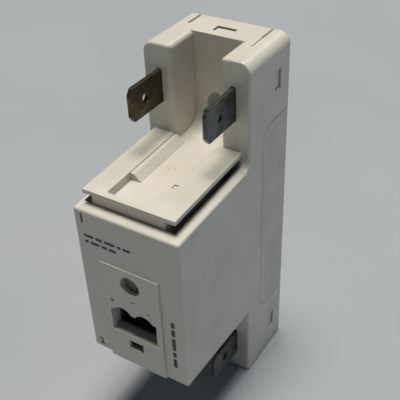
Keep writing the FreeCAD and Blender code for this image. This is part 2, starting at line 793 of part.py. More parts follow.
def blade_outline(high):
    """Side view of one blade with clipped tip corners; `high` turns a height into an expression."""
    low_edge = "blade_height - blade_wide / 2"
    high_edge = "blade_height + blade_wide / 2"
    return [
        ("0 - foot_front", high(low_edge)),
        ("0 - blade_reach + blade_clip_run", high(low_edge)),
        ("0 - blade_reach", high(f"{low_edge} + blade_clip_rise")),
        ("0 - blade_reach", high(f"{high_edge} - blade_clip_rise")),
        ("0 - blade_reach + blade_clip_run", high(high_edge)),
        ("0 - foot_front", high(high_edge)),
    ]


def make_terminal(name, high):
    """A stamped terminal: two blades, the strip that joins them, risers and a solder foot.

    `high` turns a height on the upper terminal into an expression for this one.
    """
    body = new_body(name)
    outside = "( blade_centre + blade_thick / 2 )"
    strip = rectangle(f"0 - {outside}", high("strip_low"), outside, high("strip_top"))
    grow(body, "crossbar", "XZ_Plane", "strip_back", "blade_thick", [strip])
    sides = (("left", "0 - blade_centre"), ("right", "blade_centre"))
    for side, centre in sides:
        start = f"{centre} - blade_thick / 2"
        grow(body, side + "_blade", "YZ_Plane", start, "blade_thick", [blade_outline(high)])
        riser = rectangle("0 - riser_front", high("foot_low"), "0 - strip_back", high("strip_top"))
        grow(body, side + "_riser", "YZ_Plane", start, "blade_thick", [riser])
    foot = rectangle("foot_left", high("foot_low"), outside, high("foot_high"))
    grow(body, "solder_foot", "XZ_Plane", TRACK_FRONT, f"foot_front - {TRACK_FRONT}", [foot])
    for side, centre in sides:
        hole = ("0 - blade_hole_reach", high("blade_height"), "blade_hole")
        carve(body, side + "_hole", "YZ_Plane", f"{centre} - blade_thick", "2 * blade_thick", [hole])
    reach = -SIZE["blade_reach"]
    soften(body, "tip_chamfer", "blade_chamfer", lambda p, d: near(p.y, reach) and near(abs(d.z), 1),
           "PartDesign::Chamfer")


def make_terminals():
    make_terminal("line_terminal", lambda height: f"( {height} )")
    make_terminal("load_terminal", mirrored)


# ---------------------------------------------------------------------------------------------------------
# Control electronics
# ---------------------------------------------------------------------------------------------------------

def make_board():
    body = block("control_board", "0 - board_half", "board_half", BOARD_BACK, "board_front",
                 "board_low", "board_top")
    soften(body, "board_corner_fillet", "board_corner", lambda p, d: near(abs(d.y), 1))
    pins = [(f"pin_pitch / 2 * {side}", "pin_height", "pin_hole_radius") for side in ("-1", "1")]
    carve(body, "pin_holes", "XZ_Plane", f"{BOARD_BACK} - run_out", "board_thick + 2 * run_out", pins)


def socket_outline(inset):
    """The rectangular part of the socket's mouth, made smaller all round."""
    return rectangle(f"0 - socket_half + {inset}", f"socket_low + {inset}",
                     f"socket_half - {inset}", f"socket_shoulder - {inset}")


def make_header():
    """Insulating shroud that lines the control socket, and the two contact pins that stand in it."""
    header = new_body("header_insulator")
    grow(header, "shroud_pad", "XZ_Plane", "board_front + header_gap",
         "shroud_front - board_front - header_gap", [socket_outline("shroud_fit")])
    carve(header, "shroud_cavity", "XZ_Plane", "socket_back", "shroud_front - socket_back + run_out",
          [socket_outline("( shroud_fit + shroud_wall )")])
    spots = []
    for side in ("-1", "1"):
        centre = f"pin_pitch / 2 * {side}"
        spots.append(rectangle(f"{centre} - pin_side / 2", "pin_height - pin_side / 2",
                               f"{centre} + pin_side / 2", "pin_height + pin_side / 2"))
    carve(header, "header_pin_holes", "XZ_Plane", "board_front - run_out",
          "socket_back - board_front + 2 * run_out", spots)
    tip = -SIZE["pin_tip"]
    for name, spot in zip(("control_pin_left", "control_pin_right"), spots):
        pin = new_body(name)
        grow(pin, name + "_pad", "XZ_Plane", f"{BOARD_BACK} - pin_tail",
             f"pin_tip - {BOARD_BACK} + pin_tail", [spot])
        soften(pin, name + "_tip", "pin_chamfer", lambda p, d: near(p.y, tip), "PartDesign::Chamfer")


def make_indicator():
    """Light-emitting diode on the board and the flanged light pipe behind the round hole."""
    diode = new_body("indicator_led")
    grow(diode, "led_flange_pad", "XZ_Plane", "board_front", "led_flange",
         [("0", "lamp_height", "led_flange_radius")])
    grow(diode, "led_barrel", "XZ_Plane", "board_front", "led_height", [("0", "lamp_height", "led_radius")])
    top = -(SIZE["board_front"] + SIZE["led_height"])
    soften(diode, "led_dome", "led_dome", lambda p, d: near(p.y, top), curve="Part::GeomCircle")
    lens = new_body("indicator_lens")
    behind = "( body_depth - wall )"
    grow(lens, "lens_flange_pad", "XZ_Plane", f"{behind} - lens_gap - lens_flange", "lens_flange",
         [("0", "lamp_height", "lens_flange_radius")])
    grow(lens, "lens_stem", "XZ_Plane", f"{behind} - lens_tail", f"lens_face - {behind} + lens_tail",
         [("0", "lamp_height", "lamp_radius - lens_gap")])


# Pieces soldered to the back of the board: left, right, low, high and how far they stand off it.
BOARD_PARTS = {
    "opto_driver": (-3.3, 3.3, 36.6, 45.4, 3.4),
    "input_transistor": (0.0, 3.0, 31.6, 33.0, 1.1),
    "protection_diode": (4.6, 8.2, 31.2, 33.8, 2.2),
    "snubber_capacitor": (1.2, 8.0, 20.9, 26.0, 5.5),
}
RESISTOR_CORNERS = ((-8.2, 29.0), (-3.4, 31.2), (5.4, 36.6), (5.4, 41.0))
LEG_HEIGHTS = (38.46, 41.0, 43.54)
GATE_PIN_SPOTS = ((-6.3, 33.0), (-6.3, 39.8), (-4.4, 33.0), (-4.4, 39.8))


def on_back(body, name, left, right, low, high, thick):
    """A box soldered to the back of the board, added to `body`."""
    grow(body, name, "XZ_Plane", f"{BOARD_BACK} - {thick}", f"{thick}",
         [rectangle(f"{left}", f"{low}", f"{right}", f"{high}")])


def make_board_parts():
    """Driver, resistors, transistor, diode, capacitor and varistor."""
    made = {}
    for name, sizes in BOARD_PARTS.items():
        made[name] = new_body(name)
        on_back(made[name], name + "_pad", *sizes)
    driver_face = -(SIZE["board_front"] - SIZE["board_thick"] - BOARD_PARTS["opto_driver"][-1])
    soften(made["opto_driver"], "driver_edge", "part_edge", lambda p, d: near(p.y, driver_face),
           "PartDesign::Chamfer")
    soften(made["snubber_capacitor"], "capacitor_edge", "part_edge", lambda p, d: near(abs(d.y), 1))
    legs = new_body("opto_legs")
    left, right = BOARD_PARTS["opto_driver"][:2]
    for number, height in enumerate(LEG_HEIGHTS):
        for side, start, end in (("left", f"{left} - leg_length", left),
                                 ("right", right, f"{right} + leg_length")):
            on_back(legs, f"{side}_leg_{number}", start, end,
                    f"{height} - leg_half", f"{height} + leg_half", "leg_rise")
    resistors = new_body("chip_resistors")
    for number, (left, low) in enumerate(RESISTOR_CORNERS):
        on_back(resistors, f"resistor_{number}", left, f"{left} + resistor_wide",
                low, f"{low} + resistor_tall", "resistor_thick")
    varistor = new_body("varistor")
    grow(varistor, "varistor_pad", "XZ_Plane", f"{BOARD_BACK} - varistor_thick", "varistor_thick",
         [("varistor_across", "varistor_height", "varistor_radius")])


def make_gate_pins():
    """Four posts that carry the gate signals from the board down to the power stack."""
    body = new_body("gate_pins")
    spots = [(f"{across}", f"{height}", "gate_pin_radius") for across, height in GATE_PIN_SPOTS]
    grow(body, "gate_pin_pad", "XZ_Plane", TRACK_FRONT, f"{BOARD_BACK} - {TRACK_FRONT}", spots)


def make_potting():
    """Soft gel cast over the power stack: a block with everything that stands in it cut out."""
    gel = doc.addObject("Part::Box", "gel_block")
    gel.setExpression("Length", cell("2 * gel_half"))
    gel.setExpression("Width", cell(f"gel_front - {PLATE_FRONT}"))
    gel.setExpression("Height", cell("2 * ( ceramic_reach + gel_margin )"))
    gel.setExpression("Placement.Base.x", cell("0 - gel_half"))
    gel.setExpression("Placement.Base.y", SHIFT + cell(" - gel_front"))
    gel.setExpression("Placement.Base.z", cell("body_height / 2 - ceramic_reach - gel_margin"))
    inside = (
        "ceramic_substrate", "line_track", "load_track", "gate_tracks", "line_thyristor", "load_thyristor",
        "line_strap", "load_strap", "line_terminal", "load_terminal", "gate_pins",
    )
    embedded = doc.addObject("Part::Compound", "embedded_pieces")
    embedded.Links = [piece for piece in pieces if piece.Label in inside]
    potting = doc.addObject("Part::Cut", "potting_gel")
    potting.Base = gel
    potting.Tool = embedded
    potting.Label = "potting_gel"
    pieces.append(potting)


# ---------------------------------------------------------------------------------------------------------
# Build, check and write
# ---------------------------------------------------------------------------------------------------------

def check_apart():
    """Every piece has its own room: no two solids may share any volume."""
    for number, first in enumerate(pieces):
        for second in pieces[number + 1:]:
            if not first.Shape.BoundBox.intersect(second.Shape.BoundBox):
                continue
            shared = first.Shape.common(second.Shape).Volume
            if shared > LARGEST_SHARED_VOLUME:
                raise RuntimeError(f"{first.Label} and {second.Label} share {shared:.3f} mm3")


def check_and_write():
    doc.recompute()
    for item in doc.Objects:
        if {"Invalid", "Error"} & set(item.State):
            raise RuntimeError(f"{item.Label} did not rebuild: {item.State}")
    check_apart()
    os.makedirs("parts", exist_ok=True)
    for piece in pieces:
        shape = piece.Shape
        if shape.isNull() or not shape.isValid():
            raise RuntimeError(f"{piece.Label} has no valid shape")
        shape.exportStep(f"parts/{piece.Label}.step")
        box = shape.BoundBox
        print(f"{piece.Label:20s} solids {len(shape.Solids)}  {shape.Volume:9.2f} mm3  "
              f"X {box.XMin:.2f} {box.XMax:.2f}  Y {box.YMin:.2f} {box.YMax:.2f}  "
              f"Z {box.ZMin:.2f} {box.ZMax:.2f}")


make_housing()
make_carrier()
make_base_plate()
make_power_stack()
make_terminals()
make_board()
make_header()
make_indicator()
make_board_parts()
make_gate_pins()
make_potting()
check_and_write()
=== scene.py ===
"""Looks of the slim solid state relay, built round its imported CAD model.

Metres, in the CAD's own frame: +Z up, the control socket faces -Y and the metal mounting face +Y.
Material recipes work in millimetres, because grain, scratches and wear are that small.
"""

import json
import math

import bmesh
import bpy
from mathutils import Matrix, Vector


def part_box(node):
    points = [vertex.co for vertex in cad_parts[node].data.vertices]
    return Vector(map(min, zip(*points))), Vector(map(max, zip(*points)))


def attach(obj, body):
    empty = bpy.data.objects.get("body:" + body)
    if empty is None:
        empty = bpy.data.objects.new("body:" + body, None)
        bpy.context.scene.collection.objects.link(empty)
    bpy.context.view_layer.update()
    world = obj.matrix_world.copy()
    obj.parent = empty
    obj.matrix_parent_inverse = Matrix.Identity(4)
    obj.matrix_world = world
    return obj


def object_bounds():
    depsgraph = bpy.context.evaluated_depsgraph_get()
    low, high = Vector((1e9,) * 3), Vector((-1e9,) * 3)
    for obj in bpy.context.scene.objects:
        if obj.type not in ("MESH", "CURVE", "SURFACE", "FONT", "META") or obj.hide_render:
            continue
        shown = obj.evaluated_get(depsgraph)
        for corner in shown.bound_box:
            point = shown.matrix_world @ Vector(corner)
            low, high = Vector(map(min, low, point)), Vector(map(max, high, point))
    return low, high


MM = 0.001
RAYS = 6
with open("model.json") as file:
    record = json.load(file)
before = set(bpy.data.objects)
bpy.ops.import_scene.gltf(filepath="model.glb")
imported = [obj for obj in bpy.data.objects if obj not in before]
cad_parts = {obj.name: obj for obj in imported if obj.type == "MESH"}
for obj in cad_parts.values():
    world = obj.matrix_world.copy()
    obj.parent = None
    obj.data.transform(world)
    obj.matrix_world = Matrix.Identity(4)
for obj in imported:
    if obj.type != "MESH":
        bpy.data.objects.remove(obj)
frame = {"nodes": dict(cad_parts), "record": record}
cad_low, cad_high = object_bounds()


# ---------------------------------------------------------------------------------------------------------
# Writing a material
# ---------------------------------------------------------------------------------------------------------

class Recipe:
    """A node material under construction. Places are object coordinates, in millimetres."""

    def __init__(self, name):
        self.material = bpy.data.materials.new(name)
        self.material.use_nodes = True
        self.tree = self.material.node_tree
        self.shader = self.tree.nodes["Principled BSDF"]
        raw = self.add("ShaderNodeTexCoord").outputs["Object"]
        self.place = self.add("ShaderNodeVectorMath", {0: raw, 3: 1 / MM}, operation="SCALE").outputs[0]

    def add(self, kind, inputs=None, **settings):
        node = self.tree.nodes.new(kind)
        for key, value in settings.items():
            setattr(node, key, value)
        for key, value in (inputs or {}).items():
            self.feed(node.inputs[key], value)
        return node

    def feed(self, socket, value):
        if isinstance(value, bpy.types.NodeSocket):
            self.tree.links.new(value, socket)
        else:
            socket.default_value = value

    def stretched(self, x, y, z):
        """The place with each axis scaled, so that noise on it runs in streaks."""
        inputs = {0: self.place, 1: (x, y, z)}
        return self.add("ShaderNodeVectorMath", inputs, operation="MULTIPLY").outputs[0]

    def noise(self, size, detail=2.0, rough=0.5, place=None):
        """Noise whose features are about `size` millimetres across, from 0 to 1."""
        inputs = {"Vector": place or self.place, "Scale": 1 / size, "Detail": detail, "Roughness": rough}
        return self.add("ShaderNodeTexNoise", inputs).outputs["Fac"]

    def cells(self, size):
        """Distance to the nearest of scattered points about `size` millimetres apart."""
        inputs = {"Vector": self.place, "Scale": 1 / size}
        return self.add("ShaderNodeTexVoronoi", inputs).outputs["Distance"]

    def span(self, value, low, high, to_low=0.0, to_high=1.0):
        """`value` from low..high to to_low..to_high, with soft ends."""
        inputs = {"Value": value, "From Min": low, "From Max": high, "To Min": to_low, "To Max": to_high}
        return self.add("ShaderNodeMapRange", inputs, interpolation_type="SMOOTHSTEP").outputs["Result"]

    def maths(self, operation, first, second=0.0):
        return self.add("ShaderNodeMath", {0: first, 1: second}, operation=operation).outputs[0]

    def blend(self, share, first, second, mode="MIX"):
        """Two colours mixed by `share`."""
        mix = self.add("ShaderNodeMix", data_type="RGBA", blend_type=mode)
        self.feed(mix.inputs["Factor"], share)
        self.feed(mix.inputs["A"], first)
        self.feed(mix.inputs["B"], second)
        return mix.outputs["Result"]

    def across(self, axis):
        """One coordinate of the place, in millimetres."""
        return self.add("ShaderNodeSeparateXYZ", {0: self.place}).outputs[axis]

    def rounded_normal(self, radius):
        """The surface normal with edges softened over `radius` millimetres."""
        return self.add("ShaderNodeBevel", {"Radius": radius * MM}, samples=RAYS).outputs["Normal"]

    def edge_mask(self, radius):
        """1 along convex and concave edges and 0 on flat faces."""
        flat = self.add("ShaderNodeNewGeometry").outputs["True Normal"]
        inputs = {0: self.rounded_normal(radius), 1: flat}
        agreement = self.add("ShaderNodeVectorMath", inputs, operation="DOT_PRODUCT").outputs["Value"]
        return self.span(agreement, 0.99, 0.8)

    def shelter(self, reach):
        """1 in the open, towards 0 in corners and slots, within `reach` millimetres."""
        inputs = {"Distance": reach * MM}
        return self.add("ShaderNodeAmbientOcclusion", inputs, samples=RAYS, only_local=False).outputs["AO"]

    def bump(self, height, depth, normal=None):
        """The normal after relief of `depth` millimetres, for a height from 0 to 1."""
        inputs = {"Height": height, "Distance": depth * MM}
        if normal:
            inputs["Normal"] = normal
        return self.add("ShaderNodeBump", inputs).outputs["Normal"]

    def finish(self, **inputs):
        for name, value in inputs.items():
            self.feed(self.shader.inputs[name.replace("_", " ")], value)
        return self.material


def colour(red, green, blue):
    return (red, green, blue, 1.0)


def scaled(tint, share):
    """A colour made lighter or darker."""
    return colour(*(channel * share for channel in tint[:3]))


# ---------------------------------------------------------------------------------------------------------
# The colours
# ---------------------------------------------------------------------------------------------------------

IVORY = colour(0.66, 0.63, 0.56)
# Near-black colour for painted shade deep in gaps, slots and holes.
PAINTED_DEEP_SHADE = colour(0.03, 0.035, 0.036)
RUBBED_EDGE = colour(0.86, 0.83, 0.77)
SPECK = colour(0.16, 0.13, 0.09)
SCUFF = colour(0.9, 0.88, 0.84)

TIN_DARK = colour(0.066, 0.08, 0.086)
TIN_LIGHT = colour(0.126, 0.138, 0.137)
TARNISH_DARK = colour(0.055, 0.042, 0.026)
TARNISH_LIGHT = colour(0.12, 0.098, 0.066)
TARNISH_SPOT = colour(0.05, 0.04, 0.028)
TIN_SCRATCH = colour(0.4, 0.4, 0.37)
BARE_BRASS = colour(0.42, 0.33, 0.17)

ALUMINIUM_DULL = colour(0.62, 0.63, 0.64)
ALUMINIUM_CLEAN = colour(0.77, 0.775, 0.78)
MILLING_LINE = colour(0.46, 0.47, 0.48)
HAND_MARK = colour(0.5, 0.49, 0.46)
FRESH_NICK = colour(0.9, 0.9, 0.9)

SILICON_DARK = colour(0.045, 0.04, 0.06)
SILICON_LIGHT = colour(0.09, 0.085, 0.12)
MASK_DARK = colour(0.018, 0.095, 0.045)
MASK_LIGHT = colour(0.03, 0.14, 0.065)
MASK_OVER_COPPER = colour(0.05, 0.22, 0.09)
INK_BLACK = colour(0.018, 0.018, 0.02)
INK_RUBBED = colour(0.2, 0.19, 0.175)

FLOOR_DARK = colour(0.338, 0.366, 0.393)
FLOOR_LIGHT = colour(0.359, 0.385, 0.41)
SKY = colour(0.55, 0.78, 1.0)


# ---------------------------------------------------------------------------------------------------------
# The materials
# ---------------------------------------------------------------------------------------------------------

# Radius over which moulded edges are rubbed, and the heights over which the painted shade in recesses
# fades to its weaker strength near the top.
MOULDED_EDGE = 0.14
SHADE_FADE_FROM = 69.0
SHADE_FADE_TO = 71.5

def moulded_plastic(name, tint, gloss=0.36):
    """Fine moulding with rubbed edges, painted shade in tight corners, specks, light scuffs and near-black
    painted shade deep in its recesses.

    The painted shade in the recesses is weaker near the top.
    """
    r = Recipe(name)
    mottle = r.span(r.noise(9.0, 3), 0.3, 0.7)
    base = r.blend(mottle, scaled(tint, 0.965), scaled(tint, 1.03))
    yellowed = r.span(r.noise(24.0, 1), 0.45, 0.75, 0.0, 0.35)
    base = r.blend(yellowed, base, colour(tint[0], tint[1] * 0.965, tint[2] * 0.87))
    # Painted shade: a darker copy of the tint in tight corners and creases, from an occlusion mask.
    corner_shade_mask = r.span(r.shelter(0.8), 0.1, 0.5, 0.5, 0.0)
    base = r.blend(corner_shade_mask, base, scaled(tint, 0.4))
    # Painted shade: near-black deep in gaps, slots and holes, at full strength low down and weaker near
    # the top.
    deep_shade_mask = r.span(r.shelter(3.5), 0.08, 0.36, 0.88, 0.0)
    shade_weaker_near_top = r.span(r.across("Z"), SHADE_FADE_FROM, SHADE_FADE_TO, 1.0, 0.4)
    base = r.blend(r.maths("MULTIPLY", deep_shade_mask, shade_weaker_near_top), base, PAINTED_DEEP_SHADE)
    edges = r.edge_mask(MOULDED_EDGE)
    base = r.blend(r.maths("MULTIPLY", edges, 0.3), base, RUBBED_EDGE)
    speck = r.span(r.noise(0.5, 0), 0.83, 0.87, 0.0, 0.5)
    base = r.blend(speck, base, SPECK)
    streaks = r.noise(1.0, 2, 0.6, r.stretched(4.0, 0.35, 2.2))
    scuffs = r.maths("MULTIPLY", r.span(streaks, 0.68, 0.74), r.span(r.noise(5.0, 1), 0.5, 0.65))
    base = r.blend(r.maths("MULTIPLY", scuffs, 0.3), base, SCUFF)
    grain = r.maths("ADD", r.noise(0.22, 2, 0.6), r.maths("MULTIPLY", r.noise(0.7, 1), 0.5))
    handled = r.span(r.noise(6.0, 2), 0.35, 0.7, gloss - 0.05, gloss + 0.12)
    rough = r.maths("SUBTRACT", handled, r.maths("MULTIPLY", edges, 0.1))
    relief = r.bump(grain, 0.012, r.rounded_normal(MOULDED_EDGE))
    relief = r.bump(r.maths("MULTIPLY", scuffs, -1.0), 0.01, relief)
    return r.finish(
        Base_Color=base, Roughness=rough, Normal=relief,
        Subsurface_Weight=0.08, Subsurface_Radius=(1.0, 0.8, 0.6), Subsurface_Scale=0.6 * MM,
    )


def tarnished_tin(name):
    """Tin plate gone brown on the left pair and blue-grey on the right, scratched, brass at the edges."""
    r = Recipe(name)
    side = r.span(r.across("X"), -3.0, 3.0)
    clouds = r.noise(3.2, 4, 0.62)
    leaning = r.maths("SUBTRACT", r.maths("ADD", clouds, 0.25), r.maths("MULTIPLY", side, 0.3))
    stain = r.span(leaning, 0.45, 0.62)
    plate = r.blend(r.span(r.noise(2.4, 3), 0.3, 0.7), TIN_DARK, TIN_LIGHT)
    brown = r.blend(r.span(r.noise(1.8, 3), 0.3, 0.7), TARNISH_DARK, TARNISH_LIGHT)
    base = r.blend(stain, plate, brown)
    spots = r.span(r.cells(1.1), 0.14, 0.07, 0.0, 0.45)
    base = r.blend(spots, base, TARNISH_SPOT)
    along = r.noise(1.0, 3, 0.7, r.stretched(0.6, 0.28, 7.0))
    across = r.noise(1.0, 2, 0.7, r.stretched(0.5, 4.5, 1.2))
    lines = r.maths("MAXIMUM", r.span(along, 0.66, 0.7), r.span(across, 0.72, 0.75))
    base = r.blend(r.maths("MULTIPLY", lines, 0.6), base, TIN_SCRATCH)
    worn = r.maths("MULTIPLY", r.edge_mask(0.12), r.span(r.noise(1.4, 2), 0.35, 0.6, 0.25, 0.9))
    base = r.blend(worn, base, BARE_BRASS)
    rough = r.maths("SUBTRACT", r.span(clouds, 0.3, 0.7, 0.34, 0.52), r.maths("MULTIPLY", lines, 0.1))
    relief = r.bump(r.maths("SUBTRACT", r.noise(0.5, 3), lines), 0.012, r.rounded_normal(0.12))
    return r.finish(Base_Color=base, Metallic=0.85, Roughness=rough, Normal=relief)


def milled_aluminium(name):
    """A drawn aluminium plate with fine lengthwise lines, handling marks and a dull oxide bloom."""
    r = Recipe(name)
    lines = r.noise(1.0, 4, 0.7, r.stretched(9.0, 9.0, 0.12))
    bloom = r.span(r.noise(7.0, 3), 0.35, 0.7)
    base = r.blend(bloom, ALUMINIUM_DULL, ALUMINIUM_CLEAN)
    base = r.blend(r.span(lines, 0.35, 0.65, 0.0, 0.35), base, MILLING_LINE)
    prints = r.span(r.noise(4.0, 4, 0.7), 0.6, 0.68, 0.0, 0.3)
    base = r.blend(prints, base, HAND_MARK)
    nicks = r.span(r.noise(1.0, 2, 0.6, r.stretched(3.0, 3.0, 0.7)), 0.72, 0.75)
    base = r.blend(r.maths("MULTIPLY", nicks, 0.6), base, FRESH_NICK)
    rough = r.maths("ADD", r.span(bloom, 0.0, 1.0, 0.30, 0.42), r.maths("MULTIPLY", prints, 0.2))
    relief = r.bump(r.maths("SUBTRACT", lines, nicks), 0.01, r.rounded_normal(0.15))
    return r.finish(Base_Color=base, Metallic=1.0, Roughness=rough, Normal=relief)


def soft_metal(name, bright, dull, rough):
    """Plain plated or rolled metal, clouded by oxide, with fine drawing lines."""
    r = Recipe(name)
    clouds = r.noise(1.6, 4, 0.6)
    base = r.blend(r.span(clouds, 0.35, 0.68), bright, dull)
    lines = r.noise(1.0, 3, 0.7, r.stretched(8.0, 0.5, 8.0))
    base = r.blend(r.span(lines, 0.55, 0.75, 0.0, 0.4), base, scaled(bright, 1.15))
    relief = r.bump(lines, 0.008, r.rounded_normal(0.08))
    cloudy = r.span(clouds, 0.3, 0.7, rough - 0.06, rough + 0.1)
    return r.finish(Base_Color=base, Metallic=1.0, Roughness=cloudy, Normal=relief)


def fired_ceramic(name, tint, rough):
    """Alumina or a glazed chip body: fine grain and faint firing clouds."""
    r = Recipe(name)
    base = r.blend(r.span(r.noise(2.5, 3), 0.3, 0.7), scaled(tint, 0.93), scaled(tint, 1.04))
    base = r.blend(r.span(r.cells(0.35), 0.12, 0.05, 0.0, 0.25), base, scaled(tint, 0.6))
    relief = r.bump(r.noise(0.12, 2), 0.006, r.rounded_normal(0.08))
    cloudy = r.span(r.noise(1.2, 2), 0.3, 0.7, rough - 0.05, rough + 0.08)
    return r.finish(Base_Color=base, Roughness=cloudy, Normal=relief)


def polished_die(name):
    """Silicon: near-black with a violet cast and faint saw lines."""
    r = Recipe(name)
    lines = r.noise(1.0, 2, 0.5, r.stretched(0.4, 6.0, 6.0))
    base = r.blend(r.span(lines, 0.35, 0.65), SILICON_DARK, SILICON_LIGHT)
    cloudy = r.span(r.noise(1.0, 2), 0.3, 0.7, 0.14, 0.26)
    return r.finish(Base_Color=base, Metallic=0.6, Roughness=cloudy, Normal=r.bump(lines, 0.003))


def solder_mask(name):
    """A green circuit board: glass weave under the mask, and copper runs that show through it."""
    r = Recipe(name)
    threads = {"Vector": r.place, "Scale": 1.6, "Distortion": 0.4}
    warp = r.add("ShaderNodeTexWave", threads, bands_direction="X")
    weft = r.add("ShaderNodeTexWave", threads, bands_direction="Z")
    weave = r.maths("MULTIPLY", warp.outputs["Fac"], weft.outputs["Fac"])
    base = r.blend(weave, MASK_DARK, MASK_LIGHT)
    runs = r.span(r.noise(1.0, 0, 0.5, r.stretched(1.1, 1.1, 0.12)), 0.56, 0.58)
    base = r.blend(runs, base, MASK_OVER_COPPER)
    relief = r.bump(r.maths("ADD", runs, r.maths("MULTIPLY", weave, 0.3)), 0.02)
    return r.finish(Base_Color=base, Roughness=r.span(weave, 0.0, 1.0, 0.3, 0.4), Normal=relief)


def black_moulding(name, tint, rough):
    """Dark filled resin: glass-fibre flecks and a slightly cloudy skin."""
    r = Recipe(name)
    fibres = r.span(r.noise(1.0, 2, 0.6, r.stretched(7.0, 1.2, 7.0)), 0.62, 0.7, 0.0, 0.5)
    base = r.blend(r.span(r.noise(2.0, 3), 0.3, 0.7), scaled(tint, 0.8), scaled(tint, 1.3))
    base = r.blend(fibres, base, scaled(tint, 2.2))
    relief = r.bump(r.noise(0.2, 2), 0.01, r.rounded_normal(0.1))
    cloudy = r.span(r.noise(1.5, 2), 0.3, 0.7, rough - 0.06, rough + 0.1)
    return r.finish(Base_Color=base, Roughness=cloudy, Normal=relief)


def clear_resin(name, tint, clear, rough):
    """Tinted see-through resin or gel with small inclusions."""
    r = Recipe(name)
    base = r.blend(r.span(r.noise(1.1, 3), 0.3, 0.7), scaled(tint, 0.86), scaled(tint, 1.08))
    base = r.blend(r.span(r.cells(0.6), 0.1, 0.04, 0.0, 0.4), base, scaled(tint, 0.6))
    relief = r.bump(r.noise(0.8, 2), 0.01, r.rounded_normal(0.15))
    cloudy = r.span(r.noise(1.4, 2), 0.3, 0.7, rough - 0.04, rough + 0.1)
    return r.finish(
        Base_Color=base, Roughness=cloudy, Normal=relief, Transmission_Weight=clear, IOR=1.46,
        Subsurface_Weight=0.3, Subsurface_Radius=(1.0, 1.0, 1.0), Subsurface_Scale=0.8 * MM,
    )


def dipped_coat(name, tint):
    """Glossy dipped or boxed component body with a faint orange-peel skin."""
    r = Recipe(name)
    base = r.blend(r.span(r.noise(1.8, 2), 0.3, 0.7), scaled(tint, 0.88), scaled(tint, 1.1))
    relief = r.bump(r.noise(0.6, 2), 0.02, r.rounded_normal(0.2))
    cloudy = r.span(r.noise(2.0, 2), 0.3, 0.7, 0.2, 0.32)
    return r.finish(Base_Color=base, Roughness=cloudy, Normal=relief, Coat_Weight=0.4, Coat_Roughness=0.15)


def printing_ink(name):
    """Pad-printed black ink, thinner and greyer where it has been rubbed."""
    r = Recipe(name)
    rubbed = r.span(r.noise(0.5, 4, 0.65), 0.5, 0.72, 0.0, 0.55)
    base = r.blend(rubbed, INK_BLACK, INK_RUBBED)
    return r.finish(Base_Color=base, Roughness=r.span(rubbed, 0.0, 0.55, 0.42, 0.6),
                    Normal=r.bump(r.noise(0.2, 2), 0.004))


SLOTS = {
    "housing_plastic": moulded_plastic("housing_plastic", IVORY),
    "carrier_plastic": moulded_plastic("carrier_plastic", scaled(IVORY, 0.97), 0.4),
    "base_metal": milled_aluminium("base_metal"),
    "alumina": fired_ceramic("alumina", colour(0.8, 0.79, 0.76), 0.4),
    "copper": soft_metal("copper", colour(0.78, 0.42, 0.27), colour(0.4, 0.2, 0.12), 0.36),
    "silicon": polished_die("silicon"),
    "tinned_brass": tarnished_tin("tinned_brass"),
    "circuit_board": solder_mask("circuit_board"),
    "header_plastic": black_moulding("header_plastic", colour(0.022, 0.022, 0.025), 0.5),
    "pin_metal": soft_metal("pin_metal", colour(0.66, 0.64, 0.58), colour(0.36, 0.33, 0.27), 0.32),
    "led_resin": clear_resin("led_resin", colour(0.5, 0.72, 0.42), 0.4, 0.16),
    "lens_plastic": clear_resin("lens_plastic", colour(0.3, 0.29, 0.27), 0.25, 0.3),
    "chip_plastic": black_moulding("chip_plastic", colour(0.02, 0.02, 0.022), 0.55),
    "resistor_body": fired_ceramic("resistor_body", colour(0.05, 0.05, 0.06), 0.25),
    "capacitor_case": dipped_coat("capacitor_case", colour(0.6, 0.36, 0.05)),
    "varistor_coat": dipped_coat("varistor_coat", colour(0.03, 0.13, 0.4)),
    "gel": clear_resin("gel", colour(0.72, 0.75, 0.73), 0.7, 0.22),
}
INK = printing_ink("printing_ink")


def dress_cad_nodes():
    """Each CAD node takes the material of its slot in the record."""
    for part in frame["record"]["subparts"]:
        node = frame["nodes"][part["node"]]
        node.data.materials.clear()
        node.data.materials.append(SLOTS[part["material_slot"]])


# ---------------------------------------------------------------------------------------------------------
# Printed marks on the front face: terminal numbers, polarity signs, and plain bars in place of lettering
# ---------------------------------------------------------------------------------------------------------

# The raised panel is the front of the housing's box; the face round it lies further back, and the polarity
# signs are sunk into the panel.
PANEL_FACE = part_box("outer_housing")[0].y
FACE = PANEL_FACE + 0.35 * MM
SIGN_FLOOR = PANEL_FACE + 0.05 * MM
INK_THICK = 0.02 * MM

# Figures: name, text, left edge, foot and height in millimetres.
FIGURES = (
    ("line_number", "1", -9.6, 49.3, 1.9),
    ("load_number", "2", -9.3, 19.9, 1.6),
)
FIGURE_SHARE = 0.7
FIGURE_BOLDNESS = 0.06
FIGURE_STEPS = 3
WELD_REACH = 1e-7

# Rows of bars: left edge, foot, height, the bars' lengths and the gap between them, in millimetres.
RATING_ROWS = (
    (-8.9, 46.4, 0.55, (2.0, 1.4, 2.2, 0.8, 1.5), 0.45),
    (-8.9, 45.1, 0.55, (0.8, 1.9, 1.1, 1.5), 0.45),
)
SIDE_ROW = (22.8, -8.7, 0.75, (2.2, 1.2, 3.0, 1.6, 1.4), 0.5)
FOOT_ROW = (-4.4, 19.9, 0.5, (1.8, 1.1, 2.6, 1.4), 0.45)
BAR_ROUNDING = 0.3

# Signs: middles across and up, half the length of a stroke and half its width, in millimetres.
MINUS_PLACE = (3.5, 33.85)
DASH_PLACE = (0.3, 35.2)
PLUS_PLACE = (-4.3, 33.85)
STROKE_HALF = 0.48
STROKE_LINE = 0.12


